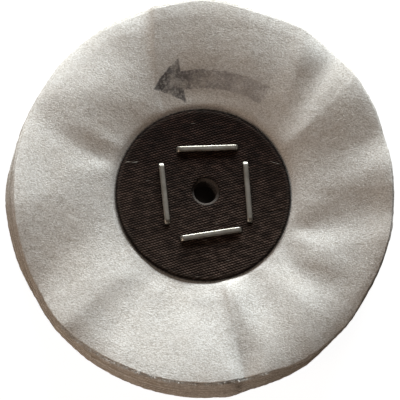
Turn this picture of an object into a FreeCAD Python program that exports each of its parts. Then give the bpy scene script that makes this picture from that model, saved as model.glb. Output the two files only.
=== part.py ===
import FreeCAD, Part
import math
import os
import Sketcher

# Stapled many-ply cotton polishing wheel, in millimetres.
# Frame: +Z is the bore axis and leaves through the face with the staple
# crowns, +Y runs to the staple called "top", and the origin is the centre of
# the bore at half the thickness of the stack.

V = FreeCAD.Vector
doc = FreeCAD.newDocument("polishing_wheel")

# ------------------------------------------------------------------ dimensions
DIMS = [
    ("wheel_dia", 100.0),      # outside diameter of the cloth
    ("ply_bore_dia", 6.0),     # arbor hole through the plies
    ("ply_count", 30),         # plies in the stack
    ("hub_pitch", 0.21),       # thickness of one ply where it is clamped
    ("rim_pitch", 0.47),       # thickness of one ply where it stands loose
    ("flare_start_dia", 48.0), # the plies are flat and clamped inside this
    ("flare_end_dia", 80.0),   # outside this the stack has its full rim width
    ("disc_dia", 45.0),        # reinforcing disc
    ("disc_hole_dia", 7.2),    # hole of the disc, larger than the arbor hole
    ("disc_thick", 0.8),
    ("disc_edge_r", 0.2),      # rolled outer edge of the disc
    ("disc_shift_x", -0.55),   # the front disc is glued a little off centre
    ("disc_shift_y", -0.70),
    ("wire_width", 1.4),       # flat staple wire
    ("wire_thick", 0.7),
    ("wire_corner_r", 0.18),   # rounding of the wire's section
    ("wire_bend_r", 0.5),      # inside radius of the four bends
    ("staple_len", 16.2),      # over the outsides of the two legs
    ("clinch_len", 5.5),       # turned-in leg on the back, from the leg's outside
    ("slit_gap", 0.02),        # play of a leg in the cloth and in the disc
    ("top_x", 0.40), ("top_y", 11.28), ("top_turn", 3.6),
    ("right_x", 10.76), ("right_y", 0.14), ("right_turn", 94.2),
    ("bottom_x", 1.33), ("bottom_y", -11.19), ("bottom_turn", 10.1),
    ("left_x", -10.61), ("left_y", -0.86), ("left_turn", 96.2),
    ("stack_datum", 12.0),     # sketches measure heights from this far below mid-stack
    ("side_datum", 1.0),       # staple sketches measure from this far outside the leg
]
dims = doc.addObject("Spreadsheet::Sheet", "Dims")
for row, (alias, value) in enumerate(DIMS, start=1):
    dims.set("A%d" % row, alias)
    dims.set("B%d" % row, str(value))
    dims.setAlias("B%d" % row, alias)
doc.recompute()
val = dict(DIMS)
PLIES = int(val["ply_count"])

# half the clamped stack, and the height of the outer face of a disc
HUB_HALF = "Dims.ply_count * Dims.hub_pitch / 2"
DISC_FACE = "(" + HUB_HALF + " + Dims.disc_thick)"


# --------------------------------------------------------------------- helpers
def new_body(name):
    body = doc.addObject("PartDesign::Body", name)
    body.Label = name
    return body


def new_sketch(body, name, role):
    planes = {o.Role: o for o in body.Origin.OriginFeatures}
    sk = body.newObject("Sketcher::SketchObject", name)
    sk.AttachmentSupport = [(planes[role], "")]
    sk.MapMode = "FlatFace"
    return sk


def closed_lines(sk, points):
    """A closed chain of line segments; returns the first one's number."""
    n = sk.GeometryCount
    k = len(points)
    for i in range(k):
        a, b = points[i], points[(i + 1) % k]
        sk.addGeometry(Part.LineSegment(V(a[0], a[1], 0), V(b[0], b[1], 0)))
    for i in range(k):
        sk.addConstraint(Sketcher.Constraint("Coincident", n + i, 2, n + (i + 1) % k, 1))
    return n


def dim(sk, kind, geo, pos, value, expression):
    """Distance of a point from the sketch origin, bound to the sheet."""
    c = sk.addConstraint(Sketcher.Constraint(kind, -1, 1, geo, pos, value))
    sk.setExpression("Constraints[%d]" % c, expression)


def circle(sk, x, y, r, ex, ey, er):
    g = sk.addGeometry(Part.Circle(V(x, y, 0), V(0, 0, 1), r))
    if ex is None:
        sk.addConstraint(Sketcher.Constraint("Coincident", g, 3, -1, 1))
    else:
        dim(sk, "DistanceX", g, 3, x, ex)
        dim(sk, "DistanceY", g, 3, y, ey)
    c = sk.addConstraint(Sketcher.Constraint("Radius", g, r))
    sk.setExpression("Constraints[%d]" % c, er)
    return g


def turn_frame(obj, which):
    """Place an object's origin side_datum outside one leg of a staple, its x axis along the crown."""
    a = val[which + "_turn"]
    half = val["staple_len"] / 2 + val["side_datum"]
    x = val[which + "_x"] - half * math.cos(math.radians(a))
    y = val[which + "_y"] - half * math.sin(math.radians(a))
    obj.Placement = FreeCAD.Placement(V(x, y, 0), FreeCAD.Rotation(V(0, 0, 1), a))
    reach = "(Dims.staple_len / 2 + Dims.side_datum)"
    obj.setExpression("Placement.Base.x", "Dims.%s_x - %s * cos(Dims.%s_turn * 1deg)" % (which, reach, which))
    obj.setExpression("Placement.Base.y", "Dims.%s_y - %s * sin(Dims.%s_turn * 1deg)" % (which, reach, which))
    obj.setExpression("Placement.Rotation.Angle", "Dims.%s_turn" % which)


def slit_pair(name, which, extra, extra_expr):
    """The two slits of one staple; extra is the room for the bend inside each leg."""
    sk = doc.addObject("Sketcher::SketchObject", name)
    d, t, L, g, w = (val[k] for k in ("side_datum", "wire_thick", "staple_len", "slit_gap", "wire_width"))
    v = w / 2 + g
    spans = [
        (d - g, d + t + extra + g,
         "Dims.side_datum - Dims.slit_gap",
         "Dims.side_datum + Dims.wire_thick + Dims.slit_gap" + extra_expr),
        (d + L - t - extra - g, d + L + g,
         "Dims.side_datum + Dims.staple_len - (Dims.wire_thick + Dims.slit_gap" + extra_expr + ")",
         "Dims.side_datum + Dims.staple_len + Dims.slit_gap"),
    ]
    for lo, hi, elo, ehi in spans:
        n = closed_lines(sk, [(lo, -v), (hi, -v), (hi, v), (lo, v)])
        sk.addConstraint(Sketcher.Constraint("Symmetric", n, 1, n + 3, 1, -1))
        sk.addConstraint(Sketcher.Constraint("Symmetric", n, 2, n + 2, 1, -1))
        dim(sk, "DistanceX", n + 2, 2, lo, elo)
        dim(sk, "DistanceX", n + 2, 1, hi, ehi)
        dim(sk, "DistanceY", n + 2, 1, v, "Dims.wire_width / 2 + Dims.slit_gap")
        sk.addConstraint(Sketcher.Constraint("Horizontal", n + 2))
    turn_frame(sk, which)
    return sk


STAPLES = ("top", "right", "bottom", "left")
ply_slits = [slit_pair("ply_slits_" + s, s, 0.0, "") for s in STAPLES]
disc_slits = [slit_pair("disc_slits_" + s, s, val["wire_bend_r"], " + Dims.wire_bend_r") for s in STAPLES]
doc.recompute()


def pierce(body, slits, name):
    """Cut the eight staple slits through a body and make sure that they cut."""
    before = body.Shape.Volume
    binder = body.newObject("PartDesign::SubShapeBinder", name + "_outlines")
    binder.Support = [(s, ("",)) for s in slits]
    binder.Relative = True
    doc.recompute()
    cut = body.newObject("PartDesign::Pocket", name)
    cut.Profile = binder
    cut.Type = "ThroughAll"
    cut.Midplane = True
    doc.recompute()
    return before, body.Shape.Volume


report = []

# ------------------------------------------------------------------ cloth plies
# Ply 01 is the back one and the last is the front one. Each is flat where the
# staples clamp it, slopes out over the flare, and is flat again on the rim.
# Neighbours bear on each other all over, thin in the hub and thick at the rim.
ply_bodies = []
for i in range(PLIES):
    body = new_body("flannel_ply_%02d" % (i + 1))
    sk = new_sketch(body, "ply_profile_%02d" % (i + 1), "XZ_Plane")
    k0, k1 = i - PLIES / 2, i + 1 - PLIES / 2
    D = val["stack_datum"]
    rb, rs = val["ply_bore_dia"] / 2, val["flare_start_dia"] / 2
    rf, ro = val["flare_end_dia"] / 2, val["wheel_dia"] / 2
    hl, hh = D + k0 * val["hub_pitch"], D + k1 * val["hub_pitch"]
    rl, rh = D + k0 * val["rim_pitch"], D + k1 * val["rim_pitch"]
    n = closed_lines(sk, [(rb, hl), (rs, hl), (rf, rl), (ro, rl), (ro, rh), (rf, rh), (rs, hh), (rb, hh)])
    for g in (n, n + 2, n + 4, n + 6):
        sk.addConstraint(Sketcher.Constraint("Horizontal", g))
    for g in (n + 3, n + 7):
        sk.addConstraint(Sketcher.Constraint("Vertical", g))
    lo, hi = "(%d - Dims.ply_count / 2)" % i, "(%d - Dims.ply_count / 2)" % (i + 1)
    dim(sk, "DistanceX", n, 1, rb, "Dims.ply_bore_dia / 2")
    dim(sk, "DistanceX", n, 2, rs, "Dims.flare_start_dia / 2")
    dim(sk, "DistanceX", n + 2, 1, rf, "Dims.flare_end_dia / 2")
    dim(sk, "DistanceX", n + 2, 2, ro, "Dims.wheel_dia / 2")
    dim(sk, "DistanceX", n + 5, 1, rf, "Dims.flare_end_dia / 2")
    dim(sk, "DistanceX", n + 5, 2, rs, "Dims.flare_start_dia / 2")
    dim(sk, "DistanceY", n, 1, hl, "Dims.stack_datum + Dims.hub_pitch * " + lo)
    dim(sk, "DistanceY", n + 2, 1, rl, "Dims.stack_datum + Dims.rim_pitch * " + lo)
    dim(sk, "DistanceY", n + 4, 1, rh, "Dims.stack_datum + Dims.rim_pitch * " + hi)
    dim(sk, "DistanceY", n + 6, 1, hh, "Dims.stack_datum + Dims.hub_pitch * " + hi)
    rev = body.newObject("PartDesign::Revolution", "ply_%02d" % (i + 1))
    rev.Profile = sk
    rev.ReferenceAxis = (sk, ["V_Axis"])
    rev.Angle = 360
    body.setExpression("Placement.Base.z", "-Dims.stack_datum")
    doc.recompute()
    ply_bodies.append(body)
    before, after = pierce(body, ply_slits, "ply_slits_%02d" % (i + 1))
    report.append((body.Label, before, after))


# ------------------------------------------------------------ reinforcing discs
def disc(name, sign, shift_x, shift_y):
    body = new_body(name)
    sk = new_sketch(body, name + "_outline", "XY_Plane")
    circle(sk, 0, 0, val["disc_hole_dia"] / 2, None, None, "Dims.disc_hole_dia / 2")
    if shift_x is None:
        circle(sk, 0, 0, val["disc_dia"] / 2, None, None, "Dims.disc_dia / 2")
    else:
        circle(sk, val[shift_x], val[shift_y], val["disc_dia"] / 2,
               "Dims." + shift_x, "Dims." + shift_y, "Dims.disc_dia / 2")
    pad = body.newObject("PartDesign::Pad", name + "_pad")
    pad.Profile = sk
    pad.Length = val["disc_thick"]
    pad.setExpression("Length", "Dims.disc_thick")
    body.setExpression("Placement.Base.z", HUB_HALF if sign > 0 else "-(" + HUB_HALF + " + Dims.disc_thick)")
    doc.recompute()
    # the outer edge on the side away from the cloth is rolled over
    z_out = val["disc_thick"] if sign > 0 else 0.0
    edge = None
    for j, e in enumerate(pad.Shape.Edges, start=1):
        c = e.Curve
        if isinstance(c, Part.Circle) and abs(c.Radius - val["disc_dia"] / 2) < 1e-6:
            if abs(e.Vertexes[0].Z - z_out) < 1e-6:
                edge = "Edge%d" % j
    roll = body.newObject("PartDesign::Fillet", name + "_edge")
    roll.Base = (pad, [edge])
    roll.Radius = val["disc_edge_r"]
    roll.setExpression("Radius", "Dims.disc_edge_r")
    doc.recompute()
    before, after = pierce(body, disc_slits, name + "_slits")
    report.append((name, before, after))
    return body


front = disc("front_reinforcing_disc", +1, "disc_shift_x", "disc_shift_y")
back = disc("back_reinforcing_disc", -1, None, None)


# --------------------------------------------------------------------- staples
def staple(name, which):
    body = new_body(name)
    path = new_sketch(body, name + "_path", "XZ_Plane")
    t, rb_, L, D, sd = (val[k] for k in ("wire_thick", "wire_bend_r", "staple_len", "stack_datum", "side_datum"))
    r = rb_ + t / 2
    face = val["ply_count"] * val["hub_pitch"] / 2 + val["disc_thick"] + t / 2
    x0, x1 = sd + t / 2, sd + L - t / 2
    z0, z1 = D - face, D + face
    tip0, tip1 = sd + val["clinch_len"], sd + L - val["clinch_len"]
    line = lambda a, b: path.addGeometry(Part.LineSegment(V(a[0], a[1], 0), V(b[0], b[1], 0)))

    def arc(cx, cy, a0, a1):
        return path.addGeometry(Part.ArcOfCircle(Part.Circle(V(cx, cy, 0), V(0, 0, 1), r), math.radians(a0), math.radians(a1)))

    g0 = line((tip0, z0), (x0 + r, z0))              # clinched end, left
    g1 = arc(x0 + r, z0 + r, 180, 270)
    g2 = line((x0, z0 + r), (x0, z1 - r))            # left leg
    g3 = arc(x0 + r, z1 - r, 90, 180)
    g4 = line((x0 + r, z1), (x1 - r, z1))            # crown
    g5 = arc(x1 - r, z1 - r, 0, 90)
    g6 = line((x1, z1 - r), (x1, z0 + r))            # right leg
    g7 = arc(x1 - r, z0 + r, 270, 360)
    g8 = line((x1 - r, z0), (tip1, z0))              # clinched end, right
    C = lambda *a: path.addConstraint(Sketcher.Constraint(*a))
    C("Tangent", g0, 2, g1, 2)
    C("Tangent", g1, 1, g2, 1)
    C("Tangent", g2, 2, g3, 2)
    C("Tangent", g3, 1, g4, 1)
    C("Tangent", g4, 2, g5, 2)
    C("Tangent", g5, 1, g6, 1)
    C("Tangent", g6, 2, g7, 2)
    C("Tangent", g7, 1, g8, 1)
    for g in (g0, g4, g8):
        C("Horizontal", g)
    for g in (g2, g6):
        C("Vertical", g)
    C("Equal", g1, g3)
    C("Equal", g1, g5)
    C("Equal", g1, g7)
    c = C("Radius", g1, r)
    path.setExpression("Constraints[%d]" % c, "Dims.wire_bend_r + Dims.wire_thick / 2")
    dim(path, "DistanceX", g0, 1, tip0, "Dims.side_datum + Dims.clinch_len")
    dim(path, "DistanceX", g8, 2, tip1, "Dims.side_datum + Dims.staple_len - Dims.clinch_len")
    dim(path, "DistanceX", g2, 1, x0, "Dims.side_datum + Dims.wire_thick / 2")
    dim(path, "DistanceX", g6, 1, x1, "Dims.side_datum + Dims.staple_len - Dims.wire_thick / 2")
    dim(path, "DistanceY", g0, 1, z0, "Dims.stack_datum - " + DISC_FACE + " - Dims.wire_thick / 2")
    dim(path, "DistanceY", g8, 2, z0, "Dims.stack_datum - " + DISC_FACE + " - Dims.wire_thick / 2")
    dim(path, "DistanceY", g4, 1, z1, "Dims.stack_datum + " + DISC_FACE + " + Dims.wire_thick / 2")

    # section of the wire at the first tip: a rectangle with rounded corners
    sec = new_sketch(body, name + "_section", "YZ_Plane")
    sec.AttachmentOffset = FreeCAD.Placement(V(0, 0, tip0), FreeCAD.Rotation())
    sec.setExpression("AttachmentOffset.Base.z", "Dims.side_datum + Dims.clinch_len")
    hw, ht, cr = val["wire_width"] / 2, t / 2, val["wire_corner_r"]
    S = lambda *a: sec.addConstraint(Sketcher.Constraint(*a))
    seg = lambda a, b: sec.addGeometry(Part.LineSegment(V(a[0], a[1], 0), V(b[0], b[1], 0)))

    def corner(cx, cy, a0):
        return sec.addGeometry(Part.ArcOfCircle(Part.Circle(V(cx, cy, 0), V(0, 0, 1), cr), math.radians(a0), math.radians(a0 + 90)))

    b = seg((-hw + cr, z0 - ht), (hw - cr, z0 - ht))
    br = corner(hw - cr, z0 - ht + cr, 270)
    rt = seg((hw, z0 - ht + cr), (hw, z0 + ht - cr))
    tr = corner(hw - cr, z0 + ht - cr, 0)
    tp = seg((hw - cr, z0 + ht), (-hw + cr, z0 + ht))
    tl = corner(-hw + cr, z0 + ht - cr, 90)
    lf = seg((-hw, z0 + ht - cr), (-hw, z0 - ht + cr))
    bl = corner(-hw + cr, z0 - ht + cr, 180)
    for a, b_ in ((b, br), (br, rt), (rt, tr), (tr, tp), (tp, tl), (tl, lf), (lf, bl), (bl, b)):
        S("Tangent", a, 2, b_, 1)
    S("Horizontal", tp)
    S("Vertical", rt)
    S("Vertical", lf)
    S("Equal", br, tr)
    S("Equal", br, tl)
    S("Equal", br, bl)
    c = S("Radius", br, cr)
    sec.setExpression("Constraints[%d]" % c, "Dims.wire_corner_r")
    S("Symmetric", b, 1, b, 2, -2)
    c = S("DistanceX", lf, 2, rt, 1, 2 * hw)
    sec.setExpression("Constraints[%d]" % c, "Dims.wire_width")
    dim(sec, "DistanceY", b, 1, z0 - ht, "Dims.stack_datum - " + DISC_FACE + " - Dims.wire_thick")
    dim(sec, "DistanceY", tp, 1, z0 + ht, "Dims.stack_datum - " + DISC_FACE)
    doc.recompute()
    pipe = body.newObject("PartDesign::AdditivePipe", name + "_wire")
    pipe.Profile = sec
    pipe.Spine = (path, ["Edge%d" % k for k in range(1, 10)])
    pipe.Mode = "Standard"
    pipe.Transition = "Transformed"
    turn_frame(body, which)
    body.setExpression("Placement.Base.z", "-Dims.stack_datum")
    doc.recompute()
    return body


staples = [staple("staple_" + s, s) for s in STAPLES]
doc.recompute()

# ------------------------------------------------------------ checks and output
bad = [o.Name + " " + ",".join(o.State) for o in doc.Objects if "Invalid" in o.State or "Error" in o.State]
if bad:
    raise RuntimeError("features in error: " + "; ".join(bad))
for label, before, after in report:
    if not after < before - 1e-3:
        raise RuntimeError("the slits cut nothing from " + label)

nodes = ply_bodies + [front, back] + staples
os.makedirs("parts", exist_ok=True)
for body in nodes:
    shape = body.Shape
    if shape.isNull() or not shape.isValid() or len(shape.Solids) != 1:
        raise RuntimeError("%s is not one valid solid" % body.Label)
    shape.exportStep("parts/%s.step" % body.Label)

allb = FreeCAD.BoundBox()
for body in nodes:
    allb.add(body.Shape.BoundBox)
print("nodes", len(nodes), "box mm", [round(v, 3) for v in (allb.XMin, allb.YMin, allb.ZMin, allb.XMax, allb.YMax, allb.ZMax)])
print("slit volume", [(l, round(a - b, 3)) for l, a, b in report][::11])
print("staple volumes", [round(s.Shape.Volume, 3) for s in staples], staples[0].Shape.BoundBox)
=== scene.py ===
import math

import bpy
import numpy as np
from mathutils import Matrix, Vector
from mathutils.geometry import delaunay_2d_cdt


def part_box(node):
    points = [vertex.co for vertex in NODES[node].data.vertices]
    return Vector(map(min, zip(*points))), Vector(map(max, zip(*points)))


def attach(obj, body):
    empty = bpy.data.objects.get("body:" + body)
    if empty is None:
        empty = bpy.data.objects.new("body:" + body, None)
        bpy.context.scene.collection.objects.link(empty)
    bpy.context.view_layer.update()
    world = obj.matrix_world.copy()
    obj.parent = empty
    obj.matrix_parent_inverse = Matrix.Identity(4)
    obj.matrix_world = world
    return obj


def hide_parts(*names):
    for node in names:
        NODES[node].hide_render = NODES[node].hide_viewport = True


# Stapled many-ply cotton polishing wheel lying on its back. All lengths below
# are in millimetres and turned into metres where a mesh is made.
MM = 0.001
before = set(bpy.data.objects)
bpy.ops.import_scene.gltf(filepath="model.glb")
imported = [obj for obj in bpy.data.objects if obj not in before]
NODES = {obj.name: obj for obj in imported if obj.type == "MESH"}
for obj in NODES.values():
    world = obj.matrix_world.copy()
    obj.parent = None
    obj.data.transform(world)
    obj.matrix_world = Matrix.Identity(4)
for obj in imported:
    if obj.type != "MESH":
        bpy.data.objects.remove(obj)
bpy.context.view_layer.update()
SC = bpy.context.scene
PLIES = sorted(n for n in NODES if n.startswith("flannel_ply_"))
N = len(PLIES)

# Facts of the frame that the soft pieces are built round
_lo, _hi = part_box(PLIES[0])
RIM_BACK = _lo.z / MM                                   # the plane the wheel lies on
DISC_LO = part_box("front_reinforcing_disc")[0].z / MM    # front of the clamped cloth
HUB = DISC_LO
WHEEL_R = (_hi.x - _lo.x) / 2 / MM
BORE_R = 3.0
_f, _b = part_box("front_reinforcing_disc"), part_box("back_reinforcing_disc")
DISC_HI = _f[1].z / MM
FRONT_C = ((_f[0].x + _f[1].x) / 2 / MM, (_f[0].y + _f[1].y) / 2 / MM)
BACK_C = ((_b[0].x + _b[1].x) / 2 / MM, (_b[0].y + _b[1].y) / 2 / MM)
DISC_R = (_f[1].x - _f[0].x) / 2 / MM
PUFF = 0.68


# ------------------------------------------------------------- smooth randomness
def lattice(seed, n):
    return np.random.default_rng(seed).uniform(-1.0, 1.0, n)


def ring_noise(theta, seed, waves):
    """Smooth periodic noise round the wheel with about that many waves."""
    table = lattice(seed, waves)
    x = (np.asarray(theta) / (2 * np.pi) % 1.0) * waves
    i = np.floor(x).astype(int)
    f = x - i
    f = f * f * (3 - 2 * f)
    return table[i % waves] * (1 - f) + table[(i + 1) % waves] * f


def plane_noise(x, y, seed, size):
    """Smooth noise over the plane with features of that size."""
    n = 256
    table = lattice(seed, n * n).reshape(n, n)
    u, v = np.asarray(x) / size + 57.3, np.asarray(y) / size + 91.7
    i, j = np.floor(u).astype(int), np.floor(v).astype(int)
    f, g = u - i, v - j
    f, g = f * f * (3 - 2 * f), g * g * (3 - 2 * g)
    a, b = table[i % n, j % n], table[(i + 1) % n, j % n]
    c, d = table[i % n, (j + 1) % n], table[(i + 1) % n, (j + 1) % n]
    return (a * (1 - f) + b * f) * (1 - g) + (c * (1 - f) + d * f) * g


def smooth(a, b, x):
    s = np.clip((np.asarray(x, float) - a) / (b - a), 0, 1)
    return s * s * (3 - 2 * s)


def around(values, theta, sharp=9.0):
    """Evenly spaced control values round the wheel, joined smoothly."""
    values = np.asarray(values, float)
    centres = np.arange(len(values)) * 2 * np.pi / len(values)
    k = np.exp(sharp * (np.cos(np.asarray(theta)[..., None] - centres) - 1))
    return (k * values).sum(-1) / k.sum(-1)


def linear_around(values, theta):
    values = np.asarray(values, float)
    n = len(values)
    x = (np.asarray(theta) / (2 * np.pi) % 1.0) * n
    i = np.floor(x).astype(int)
    f = x - i
    f = f * f * (3 - 2 * f)
    return values[i % n] * (1 - f) + values[(i + 1) % n] * f


# ---------------------------------------------------------- the shape of the cloth
# The pleats of the front ply: direction at the hub and at the rim (degrees from
# +X towards +Y), height near the hub and at the rim, and the half-width of each
# flank in degrees.
FOLDS = [
    (3.2, 3.5, 0.52, 2.78, 11.9, 16.6), (30.9, 37.7, 1.30, 2.78, 17.8, 8.1), (117.5, 106.1, -0.64, 1.77, 7.1, 1.0),
    (124.2, 150.7, 0.77, 1.53, 20.1, 16.9), (165.0, 157.4, -1.13, -0.47, 8.2, 7.2), (177.6, 187.4, 0.53, 1.31, 10.4, 19.1),
    (198.5, 213.0, -0.31, -2.73, 15.7, 21.9), (226.1, 224.4, -0.05, 2.21, 14.4, 6.7), (238.4, 245.2, -1.19, 2.11, 5.5, 18.7),
    (299.4, 287.5, -2.68, 2.79, 8.3, 19.4), (284.0, 289.1, 1.49, -0.36, 3.9, 7.6), (307.0, 313.6, 2.40, -0.29, 9.3, 11.7),
    (329.7, 346.3, -1.48, 1.96, 22.0, 12.1), (45.3, 59.9, -0.16, 2.71, 5.7, 12.0), (100.8, 91.8, -1.20, 1.64, 21.9, 16.1),
    (257.6, 278.4, -1.13, 1.56, 21.9, 6.9), (281.1, 280.7, 1.90, -2.46, 1.7, 4.6), (66.8, 77.2, 0.40, 1.21, 18.0, 6.0),
    (153.4, 154.7, 0.81, -0.39, 5.3, 11.0), (218.7, 217.1, 0.07, 0.13, 1.0, 7.9), (304.7, 304.1, 0.73, 0.63, 6.0, 14.6),
    (314.9, 326.8, -1.31, 0.21, 9.9, 16.8), (355.6, 354.3, 0.89, -0.68, 6.3, 15.0), (15.3, 17.6, 0.29, -1.56, 21.9, 9.8),
]
RISE = [0.81, 3.75, 1.55, 3.34, 1.3, 2.32, 2.09, 2.6, 1.24, 5.27, 1.13, 0.9]    # how far the cloth climbs from the clamp, every 30 degrees
DROOP = [2.79, 0.05, -2.47, -0.64, -0.38, -4.66, 2.8, -1.33, 1.37, 0.27, -3.29, -0.93]  # and how its outer part turns up or down


def beyond_disc(r, theta, centre):
    """Distance outside a reinforcing disc's edge."""
    d = np.hypot(r * np.cos(theta) - centre[0], r * np.sin(theta) - centre[1])
    return np.clip(d - DISC_R - 0.15, 0, None)


def pleats(folds, rise, droop, r, theta, centre):
    s = np.clip((r - 22.5) / 27.0, 0, 1.1)
    q = beyond_disc(r, theta, centre)
    # the cloth swells up against the disc that is pressed into it, and climbs on
    z = HUB + PUFF * (1 - np.exp(-(q / 0.8) ** 1.3)) + around(rise, theta) * (1 - np.exp(-(q / 9.0) ** 1.5))
    z = z + around(droop, theta) * np.clip((r - 35) / 14.0, 0, 2) ** 2
    near = (1 - np.exp(-q / 3.5)) * (1 - s)
    far = s ** 1.3 * (q > 0)
    eps = 0.30
    for t0, t1, a0, a1, wl, wr in folds:
        d = (np.degrees(theta) - (t0 + (t1 - t0) * s) + 180) % 360 - 180
        w = np.where(d < 0, wl, wr) + 0.3
        z = z + (a0 * near + a1 * far) * np.exp(eps - np.sqrt(eps * eps + (d / w) ** 2))
    return z


# Short puckers in the front ply: centre x, y, direction in degrees, half length, half width, height
PUCKERS = [
    (-15.9, -16.6, 141, 4.1, 1.0, 1.30), (-18.1, -22.7, 8, 7.1, 2.4, 0.25), (-20.6, -13.7, 106, 3.2, 1.2, -0.67), (-1.2, -26.6, 86, 3.2, 5.6, 0.63),
    (43.7, 7.3, 24, 5.8, 3.6, 0.50), (-11.7, -25.6, 75, 4.4, 3.8, 0.77), (9.6, -22.9, 139, 7.3, 4.8, 0.95), (24.8, -5.4, 5, 5.5, 3.5, 0.74),
    (18.4, -17.5, 117, 5.2, 2.2, 0.70), (28.0, -17.2, 164, 9.2, 4.6, 1.16), (31.5, 27.4, 59, 7.5, 2.2, 0.39), (28.6, -13.1, 2, 10.0, 4.2, 0.96),
    (23.2, -11.8, 163, 3.7, 2.2, 0.60), (-24.6, 5.1, 9, 8.9, 2.9, 0.50), (-21.1, 41.5, 6, 4.5, 5.6, 0.34), (27.7, 36.3, 67, 6.2, 3.9, 0.69),
]


def puckers(r, theta):
    x, y = r * np.cos(theta), r * np.sin(theta)
    z = np.zeros_like(r)
    for px, py, turn, long, wide, high in PUCKERS:
        c, s = math.cos(math.radians(turn)), math.sin(math.radians(turn))
        u, v = (x - px) * c + (y - py) * s, (y - py) * c - (x - px) * s
        z = z + high * np.exp(-(u / long) ** 2 - (v / wide) ** 2)
    return z * (1 - np.exp(-beyond_disc(r, theta, FRONT_C) / 3.0))


# The last few millimetres roll over, most of all on the +Y half
ROLL = [1.0, .8, .45, .35, .35, .45, .35, .40, .45, .65, .65, .6, .6, .2, .2, .2, .35, .2, .2, .2, .2, .3, .8, .8]


def front_of(r, theta):
    z = pleats(FOLDS, RISE, DROOP, r, theta, FRONT_C) + puckers(r, theta)
    return z - linear_around(ROLL, theta) * 0.055 * np.clip(r - 45.3, 0, 6) ** 2


# The back lies on the rim's high spots, and is a little calmer than the front.
BACK_FOLDS = [
    (12, 16, .5, .6, 9, 6), (48, 44, .4, .5, 7, 9), (83, 88, .6, .8, 11, 6), (124, 120, .5, .5, 7, 7),
    (152, 158, .5, .7, 8, 5), (197, 193, .4, .6, 9, 8), (231, 236, .6, .7, 6, 9), (262, 262, .3, .4, 8, 8),
    (290, 284, .6, .7, 10, 5), (331, 336, .5, .6, 7, 8),
]
BACK_RISE = [3.1, 3.3, 3.0, 3.2, 3.4, 3.1, 3.0, 3.3, 3.2, 3.0, 3.2, 3.3]
BACK_DROOP = [-.1, -.3, .1, 0, -.2, .1, -.1, .1, -.2, 0, .1, -.2]


def back_of(r, theta):
    down = pleats(BACK_FOLDS, BACK_RISE, BACK_DROOP, r, theta, BACK_C)
    return -HUB - (down - HUB) * BACK_SCALE


_t = np.linspace(0, 2 * np.pi, 1440, endpoint=False)
BACK_SCALE = 1.0
_deep = max(pleats(BACK_FOLDS, BACK_RISE, BACK_DROOP, np.full_like(_t, r), _t, BACK_C).max() for r in np.arange(24, 51.5, 0.5))
BACK_SCALE = (-RIM_BACK - HUB) / (_deep - HUB)

# Outline of the front and of the back ply, every 15 degrees
FRONT_R = [47.7, 47.9, 48.8, 49.6, 50.05, 49.55, 50.65, 49.85, 50.2, 49.9, 49.1, 49.05,
           48.9, 49.1, 49.5, 50.7, 50.2, 50.1, 49.7, 48.9, 49.65, 49.2, 48.2, 48.0]
BACK_R = [49.2, 49.4, 50.0, 50.2, 50.3, 50.4, 50.5, 50.4, 50.5, 50.4, 50.1, 49.8,
          50.65, 50.2, 50.0, 50.85, 51.15, 51.3, 51.45, 50.65, 50.6, 49.35, 49.2, 49.3]

# How the thickness is shared out among the plies: even where they are clamped,
# bunched here and there at the rim, as cloth splays.
_share = []
for k in range(N):
    _share.append((lattice(900 + k, 24), lattice(1900 + k, 7)))


def share(k, theta):
    """Relative thickness of ply k at the rim."""
    fine, broad = _share[k]
    def ring(table):
        n = len(table)
        x = (theta / (2 * np.pi) % 1.0) * n
        i = np.floor(x).astype(int)
        f = x - i
        f = f * f * (3 - 2 * f)
        return table[i % n] * (1 - f) + table[(i + 1) % n] * f
    return 1.0 + 0.28 * ring(fine) + 0.34 * ring(broad)


def layer_bounds(r, theta):
    """Heights of the N + 1 surfaces between the plies, shape (N + 1, points)."""
    top, bottom = front_of(r, theta), back_of(r, theta)
    loose = smooth(24, 47, r)
    even = 1.0 / N
    raw = np.stack([share(k, theta) for k in range(N)])
    raw = raw / raw.sum(0)
    part = even * (1 - loose) + raw * loose
    cum = np.concatenate([np.zeros((1, len(r))), np.cumsum(part, 0)])
    return bottom + (top - bottom) * cum


# How far the front ply's edge stands back from the next one, every 30 degrees
STEP_BACK = [.15, .25, .35, .45, .75, .70, .20, .10, .10, .10, .10, .10]


def outline(k, theta):
    """Radius of ply k's cut edge."""
    deep = (N - 1 - k) / (N - 1)
    back, front = linear_around(BACK_R, theta), linear_around(FRONT_R, theta)
    back = back + 0.55 * np.exp(-((np.degrees(theta) - 278.5 + 180) % 360 - 180) ** 2 / 14.0)
    r = front + (back - front) * deep ** 0.8
    if k == N - 1:
        r = r - linear_around(STEP_BACK, theta)
    rag = 0.10 if k in (0, N - 1) else 0.17
    r = r + rag * ring_noise(theta, 300 + k, 9) + 0.6 * rag * ring_noise(theta, 340 + k, 31)
    # ends of the yarns along the cut
    return r + 0.035 * ring_noise(theta, 380 + k, 210) + 0.075 * np.abs(ring_noise(theta, 420 + k, 480))


# --------------------------------------------------------------- flat cut of a ply
STAPLES = {"staple_top": (0.40, 11.28, 3.6), "staple_right": (10.76, 0.14, 94.2),
           "staple_bottom": (1.33, -11.19, 10.1), "staple_left": (-10.61, -0.86, 96.2)}
LEG_IN, LEG_OUT, LEG_HALF = 8.1 - 0.7 - 0.02, 8.1 + 0.02, 0.7 + 0.02


def slit_corners(extra=0.0):
    out = []
    for x, y, a in STAPLES.values():
        c, s = math.cos(math.radians(a)), math.sin(math.radians(a))
        for sign in (-1, 1):
            u0, u1 = sorted((sign * (LEG_IN - extra), sign * LEG_OUT))
            out.append([(x + c * u - s * v, y + s * u + c * v)
                        for u, v in ((u0, -LEG_HALF), (u1, -LEG_HALF), (u1, LEG_HALF), (u0, LEG_HALF))])
    return out


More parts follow.
